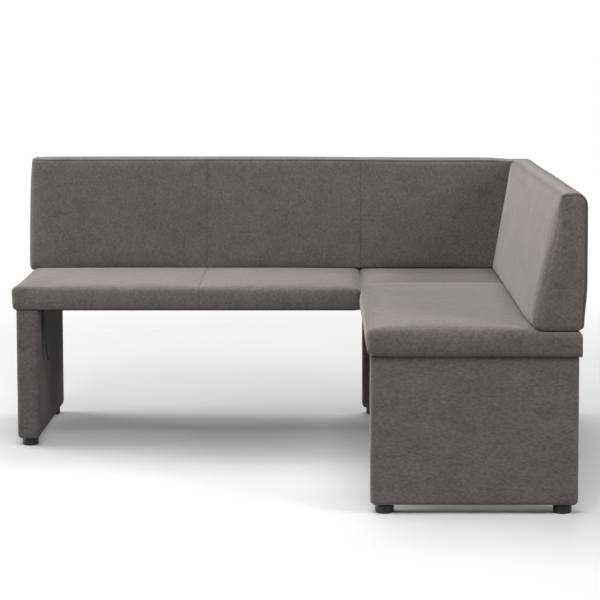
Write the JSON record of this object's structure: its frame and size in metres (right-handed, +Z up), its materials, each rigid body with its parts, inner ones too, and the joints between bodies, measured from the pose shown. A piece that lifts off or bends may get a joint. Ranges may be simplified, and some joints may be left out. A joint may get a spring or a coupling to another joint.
{
  "type": "corner kitchen bench",
  "caption": "Upholstered corner kitchen bench: L-shaped seat, wedge-shaped backrests and padded panel legs on round glides.",
  "frame": {"origin": "centre of the bounding box, at floor level", "axes": "+X to the right along the long backrest, +Y to the back, towards the wall behind the long backrest, +Z up"},
  "size_m": [1.68, 1.42, 0.86],
  "materials": {
    "cover_fabric": "matt woven upholstery fabric, taupe grey",
    "rear_cloth": "plain dark grey lining cloth",
    "dust_cloth": "black non-woven cloth",
    "webbing": "black woven strap",
    "pine": "planed softwood",
    "chipboard": "raw chipboard",
    "hardboard": "brown hardboard",
    "spring_steel": "oiled spring wire",
    "zinc_steel": "zinc-plated steel",
    "black_steel": "black passivated steel",
    "black_plastic": "moulded black plastic",
    "clip_plastic": "natural moulded plastic"
  },
  "bodies": {
    "root": {"long_seat_pad": "cover_fabric", "long_seat_front_rail": "pine", "long_seat_rear_rail": "pine", "long_seat_left_rail": "pine", "long_seat_right_rail": "pine", "long_seat_front_clip_strip": "clip_plastic", "long_seat_rear_clip_strip": "clip_plastic", "long_seat_spring_bed": "spring_steel", "long_seat_dust_cloth": "dust_cloth", "short_seat_pad": "cover_fabric", "short_seat_left_rail": "pine", "short_seat_right_rail": "pine", "short_seat_front_rail": "pine", "short_seat_rear_rail": "pine", "short_seat_cross_rail": "pine", "short_seat_left_clip_strip": "clip_plastic", "short_seat_right_clip_strip": "clip_plastic", "short_seat_spring_bed": "spring_steel", "short_seat_dust_cloth": "dust_cloth", "long_back_pad": "cover_fabric", "long_back_board": "hardboard", "long_back_bottom_rail": "pine", "long_back_top_rail": "pine", "long_back_left_post": "pine", "long_back_middle_post": "pine", "long_back_right_post": "pine", "long_back_rear_cloth": "rear_cloth", "right_back_pad": "cover_fabric", "right_back_board": "hardboard", "right_back_bottom_rail": "pine", "right_back_top_rail": "pine", "right_back_front_post": "pine", "right_back_rear_post": "pine", "right_back_rear_cloth": "rear_cloth", "left_leg_cover": "cover_fabric", "left_leg_core": "chipboard", "front_leg_cover": "cover_fabric", "front_leg_core": "chipboard", "rear_leg_cover": "cover_fabric", "rear_leg_core": "chipboard", "foot_left_front": "black_plastic", "foot_left_rear": "black_plastic", "foot_front_left": "black_plastic", "foot_front_right": "black_plastic", "foot_rear_left": "black_plastic", "foot_rear_right": "black_plastic", "left_leg_bracket_front": "black_steel", "left_leg_bracket_rear": "black_steel", "front_leg_bracket_left": "black_steel", "front_leg_bracket_right": "black_steel", "rear_leg_bracket_left": "black_steel", "rear_leg_bracket_right": "black_steel", "seat_connector_front": "zinc_steel", "seat_connector_rear": "zinc_steel", "back_bolt_long_left": "zinc_steel", "back_bolt_long_right": "zinc_steel", "back_bolt_right_front": "zinc_steel", "back_bolt_right_rear": "zinc_steel", "strap_tail": "webbing"}
  },
  "joints": []
}
